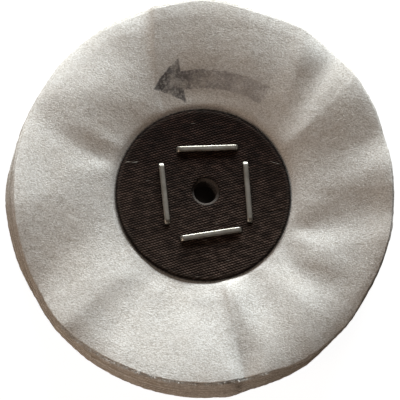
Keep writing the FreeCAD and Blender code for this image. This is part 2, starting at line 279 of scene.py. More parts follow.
def flat_cut(rings, slits, centre=(0.0, 0.0)):
    """Triangles of a flat round piece with its middle hole and its eight slits. rings are (radius, points). The
    hole is on the bore's centre and the outer edge on the piece's own centre."""
    pts, edges, loops = [], [], []
    for r, n in rings:
        a = np.arange(n) * 2 * np.pi / n
        loops.append((len(pts), n))
        own = smooth(5.0, 20.0, r)
        pts += [(centre[0] * own + r * math.cos(t), centre[1] * own + r * math.sin(t)) for t in a]
    ringed = len(pts)
    for first, n in (loops[0], loops[-1]):
        edges += [(first + i, first + (i + 1) % n) for i in range(n)]
    for quad in slits:
        first = len(pts)
        pts += quad
        edges += [(first + i, first + (i + 1) % 4) for i in range(4)]
    quads = [np.array(q) for q in slits]
    p = np.array(pts)
    near = np.zeros(len(p), bool)
    for q in quads:         # no point lies inside a slit or almost on its edge
        d0, d1 = q[1] - q[0], q[3] - q[0]
        l0, l1 = np.hypot(*d0), np.hypot(*d1)
        u, w = (p - q[0]) @ d0 / l0, (p - q[0]) @ d1 / l1
        near |= (u > -0.15) & (u < l0 + 0.15) & (w > -0.15) & (w < l1 + 0.15)
    near[ringed:] = False
    index = -np.ones(len(p), int)
    index[~near] = np.arange((~near).sum())
    edges = [(int(index[a]), int(index[b])) for a, b in edges if index[a] >= 0 and index[b] >= 0]
    v, e, f, *_ = delaunay_2d_cdt([Vector(q) for q in p[~near]], edges, [], 0, 1e-6)
    v = np.array([(q.x, q.y) for q in v])
    f = np.array(f, int)
    mid = v[f].mean(1)
    rad = np.hypot(mid[:, 0] - centre[0], mid[:, 1] - centre[1])
    from_bore = np.hypot(mid[:, 0], mid[:, 1])
    ok = (from_bore > rings[0][0] * math.cos(math.pi / rings[0][1]) * 0.9995) & (rad < rings[-1][0])
    for q in quads:
        d0, d1 = q[1] - q[0], q[3] - q[0]
        u, w = (mid - q[0]) @ d0 / (d0 @ d0), (mid - q[0]) @ d1 / (d1 @ d1)
        ok &= ~((u > 0) & (u < 1) & (w > 0) & (w < 1))
    f = f[ok]
    a, b, c = v[f[:, 0]], v[f[:, 1]], v[f[:, 2]]
    flip = ((b[:, 0] - a[:, 0]) * (c[:, 1] - a[:, 1]) - (b[:, 1] - a[:, 1]) * (c[:, 0] - a[:, 0])) < 0
    f[flip] = f[flip][:, ::-1]
    used = np.unique(f)
    back = -np.ones(len(v), int)
    back[used] = np.arange(len(used))
    v, f = v[used], back[f]
    directed = set()
    for t in f:
        for i in range(3):
            directed.add((int(t[i]), int(t[(i + 1) % 3])))
    border = [e for e in directed if (e[1], e[0]) not in directed]
    return v, f, border


def close_up(name, xy_top, z_top, xy_bottom, z_bottom, cut, rim_r, centre=(0.0, 0.0), rim_loops=()):
    """A closed solid between two surfaces over the same flat cut. rim_loops are further loops of points down the
    outer edge, from the top to the bottom, each (x, y, z) for the outer border's points in order."""
    v, f, border = cut
    n = len(v)
    r0 = np.hypot(v[:, 0] - centre[0], v[:, 1] - centre[1])
    verts = [np.stack([xy_top[0], xy_top[1], z_top], 1), np.stack([xy_bottom[0], xy_bottom[1], z_bottom], 1)]
    rim = [(a, b) for a, b in border if r0[a] > rim_r - 1e-3 and r0[b] > rim_r - 1e-3]
    rim_pts = sorted({a for e in rim for a in e})
    chains = [{p: p for p in rim_pts}]
    first = 2 * n
    rp = np.array(rim_pts)
    for loop in rim_loops:
        verts.append(np.stack(loop(rp), 1))
        chains.append({p: first + i for i, p in enumerate(rim_pts)})
        first += len(rim_pts)
    chains.append({p: p + n for p in rim_pts})
    verts = np.concatenate(verts) * MM
    faces = [tuple(int(i) for i in t) for t in f] + [tuple(int(i) + n for i in t[::-1]) for t in f]
    rimset = set(rim)
    for a, b in border:
        if (a, b) in rimset:
            for up, down in zip(chains, chains[1:]):
                faces.append((up[b], up[a], down[a], down[b]))
        else:
            faces.append((b, a, a + n, b + n))
    return make_object(name, verts, faces)


def make_object(name, verts, faces, smooth_shading=True):
    me = bpy.data.meshes.new(name)
    me.from_pydata([tuple(p) for p in verts], [], faces)
    me.validate()
    me.update()
    if smooth_shading:
        me.polygons.foreach_set("use_smooth", [True] * len(me.polygons))
    ob = bpy.data.objects.new(name, me)
    SC.collection.objects.link(ob)
    return ob


def nap_relief(x, y, r):
    """Small unevenness of the brushed surface."""
    return (0.022 * plane_noise(x, y, 11, 1.9) + 0.022 * plane_noise(x, y, 12, 0.95)
            + 0.035 * plane_noise(x, y, 13, 5.5)) * smooth(23.0, 27.0, r)


def cloth_gap(pitch, r):
    return pitch * (0.01 + 0.13 * smooth(26, 48, r))


def ply_faces(k, r, th, nap):
    """Upper and lower height of ply k."""
    bounds = layer_bounds(r, th)
    lo, hi = bounds[k], bounds[k + 1]
    gap = cloth_gap(hi - lo, r)
    lo, hi = lo + gap / 2, hi - gap / 2
    if nap:
        bump = nap_relief(r * np.cos(th), r * np.sin(th), r)
        if k == N - 1:
            hi = hi + bump
        else:
            lo = lo + bump * 0.6 * (1 - smooth(46, 48, r))
    return lo, hi


def build_ply(k, cut, nap=False):
    v = cut[0]
    r0 = np.hypot(v[:, 0], v[:, 1])
    th = np.arctan2(v[:, 1], v[:, 0])
    edge = outline(k, th)
    # the outer zone of the cut is fitted to the ply's own outline
    r = np.where(r0 > 30, 30 + (r0 - 30) * (edge - 30) / (WHEEL_R - 30), r0)
    x, y = r * np.cos(th), r * np.sin(th)
    lo, hi = ply_faces(k, r, th, nap)
    swell = 0.09 + 0.06 * ring_noise(th, 500 + k, 300)

    def swollen(p):     # the fibres stand out in the middle of the cut edge
        return (r[p] + swell[p]) * np.cos(th[p]), (r[p] + swell[p]) * np.sin(th[p]), (lo[p] + hi[p]) / 2

    ob = close_up("cloth_" + PLIES[k][-2:], (x, y), hi, (x, y), lo, cut, WHEEL_R, rim_loops=[swollen])
    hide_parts(PLIES[k])
    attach(ob, "root")
    return ob


ply_slits = slit_corners()
coarse = flat_cut([(BORE_R, 48)] + [(r, 48) for r in (6, 9.5, 13, 16.5, 20)]
                  + [(r, 360) for r in (22.4, 24, 26, 29, 32, 35, 38, 41, 43.5, 45.5, 47.2)]
                  + [(r, 640) for r in (48.6, 49.4, WHEEL_R)], ply_slits)
fine = flat_cut([(BORE_R, 64)] + [(r, 64) for r in (6, 9.5, 13, 16.5, 20)]
                + [(r, 560) for r in np.linspace(21.6, 47.6, 54)]
                + [(r, 1120) for r in (48.2, 48.8, 49.3, 49.7, WHEEL_R)], ply_slits)
cloths = [build_ply(k, fine if k in (0, N - 1) else coarse, nap=k in (0, N - 1)) for k in range(N)]


# --------------------------------------------------------------- loose fibres
def strands(name, roots, ways, bends, lengths, thick, steps=3):
    """Thin tapering fibres as one mesh: each starts at its root, runs along its way and leans over by its bend."""
    n = len(roots)
    t = np.linspace(0, 1, steps + 1)
    side = np.cross(ways, (0.3, 0.2, 0.93))
    side /= np.linalg.norm(side, axis=1)[:, None] + 1e-9
    other = np.cross(ways, side)
    verts = np.zeros((n, steps * 3 + 1, 3))
    for i in range(steps):
        mid = roots + ways * (lengths * t[i])[:, None] + bends * (lengths * t[i] ** 2)[:, None]
        w = thick * (1 - 0.6 * t[i])
        for j in range(3):
            a = 2 * np.pi * j / 3
            verts[:, i * 3 + j] = mid + side * (w * math.cos(a))[:, None] + other * (w * math.sin(a))[:, None]
    verts[:, -1] = roots + ways * lengths[:, None] + bends * lengths[:, None]
    pattern = [(2, 1, 0)]
    for i in range(steps - 1):
        for j in range(3):
            a, b = i * 3 + j, i * 3 + (j + 1) % 3
            pattern.append((a, b, b + 3, a + 3))
    last = (steps - 1) * 3
    pattern += [(last + j, last + (j + 1) % 3, steps * 3) for j in range(3)]
    per = steps * 3 + 1
    faces = [tuple(int(q) + per * m for q in face) for m in range(n) for face in pattern]
    return make_object(name, verts.reshape(-1, 3) * MM, faces)


def unit(v):
    return v / np.linalg.norm(v, axis=1)[:, None]


def edge_fuzz(name, layers, count, seed, spread=(0.0, 360.0), length=(0.15, 0.6), thick=(0.012, 0.022), sag=0.25):
    """Fibres standing out of the cut edges of some plies."""
    g = np.random.default_rng(seed)
    th = np.radians(g.uniform(spread[0], spread[1], count))
    pick = g.choice(np.array(layers), count)
    roots, out = np.zeros((count, 3)), np.zeros((count, 3))
    for k in set(int(q) for q in pick):
        m = pick == k
        e = outline(k, th[m]) - 0.03
        lo, hi = ply_faces(k, e, th[m], False)
        h = lo + (hi - lo) * g.uniform(0.15, 0.85, m.sum())
        roots[m] = np.stack([e * np.cos(th[m]), e * np.sin(th[m]), h], 1)
    out[:, 0], out[:, 1] = np.cos(th), np.sin(th)
    around_ = np.stack([-np.sin(th), np.cos(th), np.zeros(count)], 1)
    ways = unit(out + around_ * g.normal(0, 0.55, count)[:, None] + np.array([0, 0, 1.0]) * g.normal(-0.05, 0.35, count)[:, None])
    bends = around_ * g.normal(0, 0.35, count)[:, None] + np.array([0, 0, -1.0]) * g.uniform(0, 2 * sag, count)[:, None]
    lengths = g.uniform(length[0], length[1], count)
    return strands(name, roots, ways, bends, lengths, g.uniform(thick[0], thick[1], count))


def surface_nap(name, count, seed):
    """Brushed-up fibres lying over the front ply."""
    g = np.random.default_rng(seed)
    r = np.sqrt(g.uniform(23.4 ** 2, 48.3 ** 2, count))
    th = g.uniform(0, 2 * np.pi, count)
    r = np.minimum(r, outline(N - 1, th) - 0.9)
    lo, hi = ply_faces(N - 1, r, th, True)
    x, y = r * np.cos(th), r * np.sin(th)
    roots = np.stack([x, y, hi - 0.012], 1)
    lie = np.radians(-40) + 1.4 * plane_noise(x, y, 77, 5.0) + g.normal(0, 0.7, count)
    flip = np.where(g.uniform(0, 1, count) < 0.5, 0, np.pi)
    lengths = g.uniform(0.22, 0.60, count)
    dx, dy = np.cos(lie + flip), np.sin(lie + flip)
    # the far end of each fibre follows the cloth under it
    x1, y1 = x + dx * lengths, y + dy * lengths
    r1, t1 = np.hypot(x1, y1), np.arctan2(y1, x1)
    end = ply_faces(N - 1, r1, t1, True)[1]
    rise = (end - hi) / lengths
    lift = g.uniform(0.05, 0.20, count)
    ways = np.stack([dx, dy, rise + lift], 1)
    bends = np.stack([np.zeros(count), np.zeros(count), -lift * g.uniform(0.6, 1.0, count)], 1)
    return strands(name, roots, ways, bends, lengths, g.uniform(0.013, 0.025, count), steps=2)


nap_piece = surface_nap("nap_fibres", 15000, 21)
front_fuzz = edge_fuzz("front_edge_fibres", [N - 1, N - 1, N - 2], 2600, 31)
fray = edge_fuzz("front_edge_fray", [N - 1], 1300, 32, spread=(224, 288), length=(0.4, 1.35), thick=(0.035, 0.07), sag=0.22)
side_fuzz = edge_fuzz("side_edge_fibres", list(range(1, N - 2)), 3800, 33, length=(0.12, 0.42))
back_fuzz = edge_fuzz("back_edge_fibres", [0], 900, 34, length=(0.12, 0.4))
FRONT_EXTRA, MIDDLE_EXTRA, BACK_EXTRA = [nap_piece, front_fuzz, fray], [side_fuzz], [back_fuzz]
for ob in FRONT_EXTRA + MIDDLE_EXTRA + BACK_EXTRA:
    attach(ob, "root")


# ------------------------------------------------------------ reinforcing discs
def build_disc(node, name, centre, radius, z_in, z_out, seed):
    """A pressed board disc: its face sinks a little under each staple, and its rolled edge is uneven."""
    rings = [(3.6, 72), (3.78, 72), (4.1, 72), (4.7, 72)] + [(r, max(72, int(r * 14))) for r in np.arange(5.4, 21.8, 0.62)]
    rings += [(21.9, 300), (22.2, 300), (22.32, 300)]
    cut = flat_cut(rings, slit_corners(0.5), centre)
    v = cut[0]
    x, y = v[:, 0], v[:, 1]
    dx, dy = x - centre[0], y - centre[1]
    r, th = np.hypot(dx, dy), np.arctan2(dy, dx)
    face = 1 if z_out > z_in else -1
    rag = 0.05 * ring_noise(th, seed, 14) + 0.045 * ring_noise(th, seed + 1, 60) + 0.03 * ring_noise(th, seed + 2, 210)
    scale = 1 + (rag / radius) * smooth(radius - 3, radius, r)
    xx, yy = centre[0] + dx * scale, centre[1] + dy * scale
    drop = 0.02 + 0.018 * plane_noise(x, y, seed + 3, 6.0) + 0.012 * plane_noise(x, y, seed + 4, 1.6)
    drop = drop + 0.10 * (1 - smooth(3.6, 4.4, np.hypot(x, y))) ** 2 + 0.16 * smooth(radius - 0.9, radius - 0.15, r) ** 2
    for sx, sy, a in STAPLES.values():
        c, s = math.cos(math.radians(a)), math.sin(math.radians(a))
        u, w = (x - sx) * c + (y - sy) * s, (y - sy) * c - (x - sx) * s
        beyond = np.clip(np.abs(u) - 7.2, 0, None)
        drop = drop + 0.085 * np.exp(-(w / 1.15) ** 2 - (beyond / 0.8) ** 2)
        for sign in (-1, 1):
            drop = drop + 0.10 * np.exp(-((u - sign * 8.0) / 0.75) ** 2 - (w / 1.0) ** 2)
    outer = z_out - face * drop
    inner = np.full_like(r, z_in)
    top, bottom = (outer, inner) if face > 0 else (inner, outer)

    def loop(out, depth):
        def f(p):
            q = (r[p] * scale[p] + out) / r[p]
            z = top[p] - (top[p] - bottom[p]) * depth
            return centre[0] + dx[p] * q, centre[1] + dy[p] * q, z
        return f

    roll = [loop(0.03, 0.06), loop(0.06, 0.22), loop(0.07, 0.5), loop(0.06, 0.78), loop(0.03, 0.94)]
    ob = close_up(name, (xx, yy), top, (xx, yy), bottom, cut, rings[-1][0], centre, roll)
    ob.data.set_sharp_from_angle(angle=math.radians(50))
    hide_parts(node)
    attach(ob, "root")
    return ob


discs = [build_disc("front_reinforcing_disc", "front_board", FRONT_C, DISC_R, HUB, DISC_HI, 600),
         build_disc("back_reinforcing_disc", "back_board", BACK_C, DISC_R, -HUB, -DISC_HI, 640)]


# ------------------------------------------------------------------- staples
def build_staple(node, seed):
    """Flat wire with a domed section, bent over the stack and clinched on the back."""
    sx, sy, a = STAPLES[node]
    c, s = math.cos(math.radians(a)), math.sin(math.radians(a))
    half, t, bend = 8.1 - 0.35, 0.35, 0.85
    zc = DISC_HI + t
    path = []

    def line(p, q, n):
        for i in range(n):
            f = i / n
            path.append((p[0] + (q[0] - p[0]) * f, p[1] + (q[1] - p[1]) * f, math.atan2(q[1] - p[1], q[0] - p[0])))

    def arc(cx, cz, a0, a1, n=9):
        for i in range(n):
            b = math.radians(a0 + (a1 - a0) * i / n)
            path.append((cx + bend * math.cos(b), cz + bend * math.sin(b), b - math.pi / 2))

    line((-2.6, -zc), (-half + bend, -zc), 8)
    arc(-half + bend, -zc + bend, 270, 180)
    line((-half, -zc + bend), (-half, zc - bend), 8)
    arc(-half + bend, zc - bend, 180, 90)
    line((-half + bend, zc), (half - bend, zc), 40)
    arc(half - bend, zc - bend, 90, 0)
    line((half, zc - bend), (half, -zc + bend), 8)
    arc(half - bend, -zc + bend, 0, -90)
    line((half - bend, -zc), (2.6, -zc), 8)
    path.append((2.6, -zc, math.pi))
    g = np.random.default_rng(seed)
    k = 26
    ring_a = np.arange(k) * 2 * np.pi / k
    sec_w = 0.69 * np.sign(np.cos(ring_a)) * np.abs(np.cos(ring_a)) ** 0.58
    sec_t = 0.345 * np.sign(np.sin(ring_a)) * np.abs(np.sin(ring_a)) ** 0.60
    verts = []
    m = len(path)
    sway, nick = lattice(seed + 5, m), lattice(seed + 9, m)
    for i, (u, z, way) in enumerate(path):
        nu, nz = -math.sin(way), math.cos(way)      # away from the wheel on the crown
        end = min(i, m - 1 - i)
        shrink = (0.55, 0.86, 1.0)[min(end, 2)]
        on_crown = smooth(-half + 1.2, -half + 3.5, u) * smooth(half - 1.2, half - 3.5, u) if z > 0 else 0
        lift = 0.0012 * nick[i] * on_crown
        for w, tt in zip(sec_w * shrink, sec_t * shrink):
            uu, zz = u + nu * (tt + lift), z + nz * (tt + lift)
            ww = w + 0.002 * sway[i] * on_crown
            verts.append((sx + c * uu - s * ww, sy + s * uu + c * ww, zz))
    faces = []
    for i in range(m - 1):
        for j in range(k):
            p, q = i * k + j, i * k + (j + 1) % k
            faces.append((p, q, q + k, p + k))
    faces.append(tuple(range(k - 1, -1, -1)))
    faces.append(tuple((m - 1) * k + j for j in range(k)))
    ob = make_object("wire_" + node.split("_")[1], np.array(verts) * MM, faces)
    # outward faces
    import bmesh
    bm = bmesh.new()
    bm.from_mesh(ob.data)
    bmesh.ops.recalc_face_normals(bm, faces=bm.faces)
    bm.to_mesh(ob.data)
    bm.free()
    ob.data.set_sharp_from_angle(angle=math.radians(60))
    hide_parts(node)
    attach(ob, "root")
    return ob


wires = [build_staple(node, 700 + 20 * i) for i, node in enumerate(STAPLES)]


# ------------------------------------------------------------------- materials
def nodes_of(name):
    m = bpy.data.materials.new(name)
    m.use_nodes = True
    nt = m.node_tree
    nt.nodes.clear()
    out = nt.nodes.new("ShaderNodeOutputMaterial")
    bsdf = nt.nodes.new("ShaderNodeBsdfPrincipled")
    nt.links.new(bsdf.outputs[0], out.inputs[0])
    return m, nt, bsdf


def noise(nt, co, scale, detail=2.0, rough=0.5, lac=2.0):
    n = nt.nodes.new("ShaderNodeTexNoise")
    n.inputs["Scale"].default_value = scale
    n.inputs["Detail"].default_value = detail
    n.inputs["Roughness"].default_value = rough
    n.inputs["Lacunarity"].default_value = lac
    nt.links.new(co, n.inputs["Vector"])
    return n


def ramp(nt, value, stops, interp="LINEAR"):
    r = nt.nodes.new("ShaderNodeValToRGB")
    r.color_ramp.interpolation = interp
    while len(r.color_ramp.elements) < len(stops):
        r.color_ramp.elements.new(0.5)
    for el, (pos, col) in zip(r.color_ramp.elements, stops):
        el.position = pos
        el.color = (*col, 1) if len(col) == 3 else col
    nt.links.new(value, r.inputs[0])
    return r


def mix(nt, kind, fac, a, b):
    n = nt.nodes.new("ShaderNodeMix")
    n.data_type = "RGBA"
    n.blend_type = kind
    for sock, val in ((n.inputs[0], fac), (n.inputs[6], a), (n.inputs[7], b)):
        if hasattr(val, "links"):
            nt.links.new(val, sock)
        elif isinstance(val, (int, float)):
            sock.default_value = val
        else:
            sock.default_value = (*val, 1)
    return n.outputs[2]


def calc(nt, op, a, b=None, c=None, clamp=False):
    n = nt.nodes.new("ShaderNodeMath")
    n.operation = op
    n.use_clamp = clamp
    for sock, val in zip(n.inputs, (a, b, c)):
        if val is None:
            continue
        if hasattr(val, "links"):
            nt.links.new(val, sock)
        else:
            sock.default_value = val
    return n.outputs[0]


def between(nt, value, lo, hi, to0=0.0, to1=1.0):
    n = nt.nodes.new("ShaderNodeMapRange")
    n.interpolation_type = "SMOOTHSTEP"
    n.inputs["From Min"].default_value = lo
    n.inputs["From Max"].default_value = hi
    n.inputs["To Min"].default_value = to0
    n.inputs["To Max"].default_value = to1
    nt.links.new(value, n.inputs["Value"])
    return n.outputs["Result"]


def object_co(nt):
    tc = nt.nodes.new("ShaderNodeTexCoord")
    return tc.outputs["Object"]


def mapped(nt, co, turn=0.0, scale=(1, 1, 1)):
    n = nt.nodes.new("ShaderNodeMapping")
    n.inputs["Rotation"].default_value = (0, 0, math.radians(turn))
    n.inputs["Scale"].default_value = scale
    nt.links.new(co, n.inputs["Vector"])
    return n.outputs[0]


def stroke(nt, x, y, p, q, half, soft):
    """1 on a straight stroke from p to q (metres), 0 away from it."""
    length = math.hypot(q[0] - p[0], q[1] - p[1])
    ux, uy = (q[0] - p[0]) / length, (q[1] - p[1]) / length
    rx, ry = calc(nt, "SUBTRACT", x, p[0]), calc(nt, "SUBTRACT", y, p[1])
    along = calc(nt, "ADD", calc(nt, "MULTIPLY", rx, ux), calc(nt, "MULTIPLY", ry, uy))
    across = calc(nt, "ABSOLUTE", calc(nt, "SUBTRACT", calc(nt, "MULTIPLY", rx, -uy), calc(nt, "MULTIPLY", ry, -ux)))
    on = between(nt, across, half, half + soft, 1.0, 0.0)
    return calc(nt, "MULTIPLY", on, calc(nt, "MULTIPLY", between(nt, along, 0.0, 0.0006), between(nt, along, length - 0.0006, length, 1.0, 0.0)))


def flannel(name, ink=False, cut=True):
    """Napped cotton: fibre speckle combed two ways, cloudy brushing, the weave showing at the cut edge, with painted
    shade on that edge, round the bore and against the disc's edge.
    """
    m, nt, bsdf = nodes_of(name)
    L = nt.links.new
    co = object_co(nt)
    sep = nt.nodes.new("ShaderNodeSeparateXYZ")
    L(co, sep.inputs[0])
    x, y, z = sep.outputs
    rad = calc(nt, "SQRT", calc(nt, "ADD", calc(nt, "MULTIPLY", x, x), calc(nt, "MULTIPLY", y, y)))
    comb_a = noise(nt, mapped(nt, co, 40, (1700, 3000, 2000)), 1.0, 2.0, 0.6)
    comb_b = noise(nt, mapped(nt, co, -48, (1800, 3100, 2000)), 1.0, 2.0, 0.6)
    which = noise(nt, co, 75, 1.0)
    nap = mix(nt, "MIX", between(nt, which.outputs[0], 0.42, 0.58), comb_a.outputs[0], comb_b.outputs[0])
    hair = noise(nt, co, 3300, 2.0, 0.6)
    cloud = noise(nt, co, 85, 3.0, 0.55)
    tone = ramp(nt, nap, [(0.37, (0.705, 0.680, 0.642)), (0.50, (0.865, 0.852, 0.828)), (0.62, (0.985, 0.980, 0.966))])
    tone2 = ramp(nt, hair.outputs[0], [(0.39, (0.79, 0.78, 0.765)), (0.55, (1, 1, 1))])
    tone3 = ramp(nt, cloud.outputs[0], [(0.30, (0.975, 0.955, 0.935)), (0.60, (1, 1, 1))])
    col = mix(nt, "MULTIPLY", 1.0, tone.outputs[0], tone2.outputs[0])
    col = mix(nt, "MULTIPLY", 1.0, col, tone3.outputs[0])
    # rare dark specks of seed husk
    vor = nt.nodes.new("ShaderNodeTexVoronoi")
    vor.inputs["Scale"].default_value = 105
    L(co, vor.inputs["Vector"])
    speck = between(nt, vor.outputs["Distance"], 0.018, 0.032, 1.0, 0.0)
    rare = calc(nt, "GREATER_THAN", noise(nt, vor.outputs["Position"], 700, 0).outputs[0], 0.66)
    col = mix(nt, "MIX", calc(nt, "MULTIPLY", speck, calc(nt, "MULTIPLY", rare, 0.75)), col, (0.16, 0.13, 0.11))
    # the cut edge shows stripes of yarn ends; its darker brown tone is painted shade of the rim side between the plies
    geo = nt.nodes.new("ShaderNodeNewGeometry")
    nsep = nt.nodes.new("ShaderNodeSeparateXYZ")
    L(geo.outputs["Normal"], nsep.inputs[0])
    side = between(nt, calc(nt, "ABSOLUTE", nsep.outputs[2]), 0.80, 0.35, 0.0, 1.0)
    edge = calc(nt, "MULTIPLY", calc(nt, "MULTIPLY", side, 1.0 if cut else 0.0), between(nt, rad, 0.0440, 0.0470))
    turn = nt.nodes.new("ShaderNodeMath")
    turn.operation = "ARCTAN2"
    L(y, turn.inputs[0])
    L(x, turn.inputs[1])
    ends = calc(nt, "SINE", calc(nt, "ADD", calc(nt, "MULTIPLY", turn.outputs[0], 480.0), calc(nt, "MULTIPLY", cloud.outputs[0], 9.0)))
    ends = between(nt, ends, -1.0, 1.0, 0.90, 1.0)
    wavy = noise(nt, mapped(nt, co, 0, (90, 90, 900)), 1.0, 3.0, 0.6)
    # painted shade: the cut edge's colour is drawn darker and browner
    edge_tone_and_shade = mix(nt, "MIX", between(nt, wavy.outputs[0], 0.39, 0.61), (0.485, 0.415, 0.350), (0.76, 0.700, 0.625))
    edge_tone_and_shade = mix(nt, "MULTIPLY", 1.0, col, edge_tone_and_shade)
    shade = nt.nodes.new("ShaderNodeCombineXYZ")
    for i in range(3):
        L(ends, shade.inputs[i])
    edge_tone_and_shade = mix(nt, "MULTIPLY", 1.0, edge_tone_and_shade, shade.outputs[0])
    col = mix(nt, "MIX", edge, col, edge_tone_and_shade)
    # darker round the bore: partly arbor dirt, partly painted shade, strongest on the ledge facing up and on the
    # lower-left side
    bore_dirt_and_shade = between(nt, calc(nt, "ADD", rad, calc(nt, "MULTIPLY", calc(nt, "SUBTRACT", wavy.outputs[0], 0.5), 0.0009)), 0.0031, 0.0044, 1.0, 0.0)
    lean = calc(nt, "ADD", calc(nt, "MULTIPLY", x, -0.55), calc(nt, "MULTIPLY", y, -0.83))
    # painted shade: the mask is raised on faces that look up and on the lower-left side of the bore
    bore_dirt_and_shade = calc(nt, "MULTIPLY", bore_dirt_and_shade, calc(nt, "MAXIMUM", between(nt, nsep.outputs[2], 0.2, 0.8, 0.0, 0.80), between(nt, lean, -0.0022, 0.0010, 0.12, 0.80)))
    col = mix(nt, "MIX", calc(nt, "MULTIPLY", bore_dirt_and_shade, 0.75), col, (0.30, 0.25, 0.205))
    # painted shade against the disc's edge, front and back: a near-black line in the crevice and a soft darker ring a
    # few millimetres wide
    near = between(nt, z, -0.001, 0.001, 0.0, 1.0)
    ex = calc(nt, "SUBTRACT", x, calc(nt, "MULTIPLY", near, FRONT_C[0] * MM))
    ey = calc(nt, "SUBTRACT", y, calc(nt, "MULTIPLY", near, FRONT_C[1] * MM))
    away = calc(nt, "SQRT", calc(nt, "ADD", calc(nt, "MULTIPLY", ex, ex), calc(nt, "MULTIPLY", ey, ey)))
    away = calc(nt, "ADD", away, calc(nt, "MULTIPLY", calc(nt, "SUBTRACT", hair.outputs[0], 0.5), 0.0005))
    crevice_shade = between(nt, away, (DISC_R - 0.05) * MM, (DISC_R + 0.42) * MM, 0.90, 0.0)
    # painted shade: a soft darker ring just outside the disc
    col = mix(nt, "MIX", between(nt, away, DISC_R * MM, (DISC_R + 4.6) * MM, 0.17, 0.0), col, (0.20, 0.165, 0.14))
    col = mix(nt, "MIX", crevice_shade, col, (0.035, 0.026, 0.022))
    if ink:
        col = ink_mark(nt, x, y, co, col)
    L(col, bsdf.inputs["Base Color"])
    bsdf.inputs["Roughness"].default_value = 0.95
    bsdf.inputs["Specular IOR Level"].default_value = 0.12
    bsdf.inputs["Sheen Weight"].default_value = 0.12
    bsdf.inputs["Sheen Roughness"].default_value = 0.6
    bsdf.inputs["Sheen Tint"].default_value = (1, 0.99, 0.97, 1)
    h = calc(nt, "ADD", calc(nt, "MULTIPLY", nap, 0.8), calc(nt, "MULTIPLY", hair.outputs[0], 0.45))
    bump = nt.nodes.new("ShaderNodeBump")
    bump.inputs["Strength"].default_value = 0.8
    bump.inputs["Distance"].default_value = 0.00016
    L(h, bump.inputs["Height"])
    L(bump.outputs[0], bsdf.inputs["Normal"])
    return m


def ink_mark(nt, x, y, co, col):
    """A stamped arrow that shows which way the wheel turns, in uneven grey ink, fading at its tail."""
    # arc of a ring round the bore, between two angles, with a head at one end
    ang = nt.nodes.new("ShaderNodeMath")
    ang.operation = "ARCTAN2"
    nt.links.new(x, ang.inputs[0])   # angle from +Y towards +X
    nt.links.new(y, ang.inputs[1])
    a = ang.outputs[0]
    rad = calc(nt, "SQRT", calc(nt, "ADD", calc(nt, "MULTIPLY", x, x), calc(nt, "MULTIPLY", y, y)))
    wob = noise(nt, co, 700, 2.0)
    rw = calc(nt, "ADD", rad, calc(nt, "MULTIPLY", calc(nt, "SUBTRACT", wob.outputs[0], 0.5), 0.0009))
    mid = calc(nt, "ABSOLUTE", calc(nt, "SUBTRACT", rw, 0.0296))
    band = between(nt, mid, 0.00215, 0.00262, 1.0, 0.0)
    a_lo, a_hi = math.radians(-13.0), math.radians(31.5)
    run = calc(nt, "MULTIPLY", between(nt, a, a_lo, a_lo + 0.02), between(nt, a, a_hi - 0.02, a_hi, 1.0, 0.0))
    shaft = calc(nt, "MULTIPLY", band, run)
    # head: its half width shrinks to nothing towards the point
    tip, root = math.radians(-28.0), math.radians(-12.0)
    half = between(nt, a, tip, root, 0.0, 0.0059)
    nt.nodes[-1].interpolation_type = "LINEAR"
    in_head = calc(nt, "MULTIPLY", between(nt, calc(nt, "SUBTRACT", half, mid), 0.0, 0.0004),
                   calc(nt, "MULTIPLY", between(nt, a, tip, tip + 0.01), between(nt, a, root - 0.008, root + 0.008, 1.0, 0.0)))
    shape = calc(nt, "MAXIMUM", shaft, in_head)
    # patchy pick-up on the nap, heavy at the head and faint at the tail
    patch = noise(nt, co, 260, 3.0, 0.6)
    grain = noise(nt, co, 1700, 2.0, 0.6)
    heavy = between(nt, a, math.radians(-28), math.radians(28), 0.97, 0.50)
    take = calc(nt, "MULTIPLY", heavy, between(nt, patch.outputs[0], 0.28, 0.60, 0.45, 1.0))
    take = calc(nt, "MULTIPLY", take, between(nt, grain.outputs[0], 0.30, 0.58, 0.55, 1.0))
    # a faint bleed round the print
    halo = calc(nt, "MULTIPLY", between(nt, mid, 0.0020, 0.0046, 0.16, 0.0),
                calc(nt, "MULTIPLY", between(nt, a, math.radians(-27), math.radians(-18)), between(nt, a, math.radians(24), math.radians(33), 1.0, 0.0)))
    amount = calc(nt, "MAXIMUM", calc(nt, "MULTIPLY", shape, take), halo)
    hue = mix(nt, "MIX", between(nt, a, math.radians(-25), math.radians(25)), (0.085, 0.082, 0.088), (0.20, 0.17, 0.185))
    return mix(nt, "MIX", amount, col, hue)


cloth_mat = flannel("flannel")
fibre_mat = flannel("flannel_fibre", cut=False)
front_mat = flannel("flannel_printed", ink=True)
for k, ob in enumerate(cloths):
    ob.data.materials.append(front_mat if k == N - 1 else cloth_mat)
for ob in FRONT_EXTRA + MIDDLE_EXTRA + BACK_EXTRA:
    ob.data.materials.append(front_mat if ob is nap_piece else fibre_mat)


